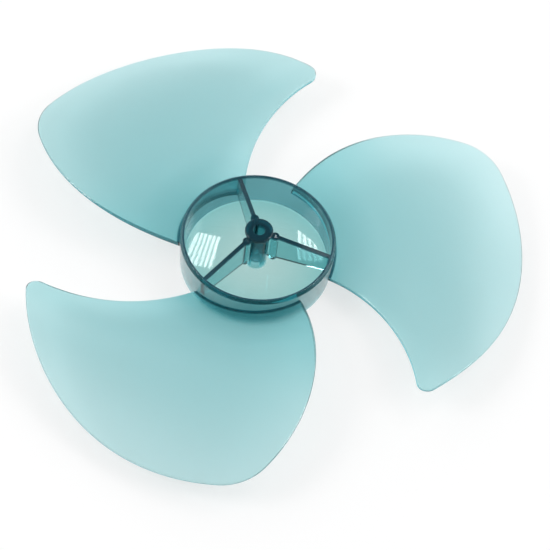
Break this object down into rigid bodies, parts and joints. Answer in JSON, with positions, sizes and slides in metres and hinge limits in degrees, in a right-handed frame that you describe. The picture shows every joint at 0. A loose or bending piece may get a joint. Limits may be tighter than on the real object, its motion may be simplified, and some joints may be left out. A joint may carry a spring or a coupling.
{
  "type": "pedestal fan blade",
  "caption": "Translucent moulded fan rotor for a pedestal fan: broad swept, twisted blades around an open ribbed hub cup with a central shaft boss.",
  "frame": {"origin": "centre of the mouth of the shaft hole, on the motor side of the boss", "axes": "+Z along the shaft towards the motor; -Z is the closed front that it lies on; one rib runs near +X"},
  "size_m": [0.335, 0.3428, 0.0368],
  "materials": {
    "blade_plastic": "clear teal-tinted plastic, glossy hub, smooth blades"
  },
  "bodies": {
    "root": {"fan_blade": "blade_plastic"}
  },
  "joints": []
}
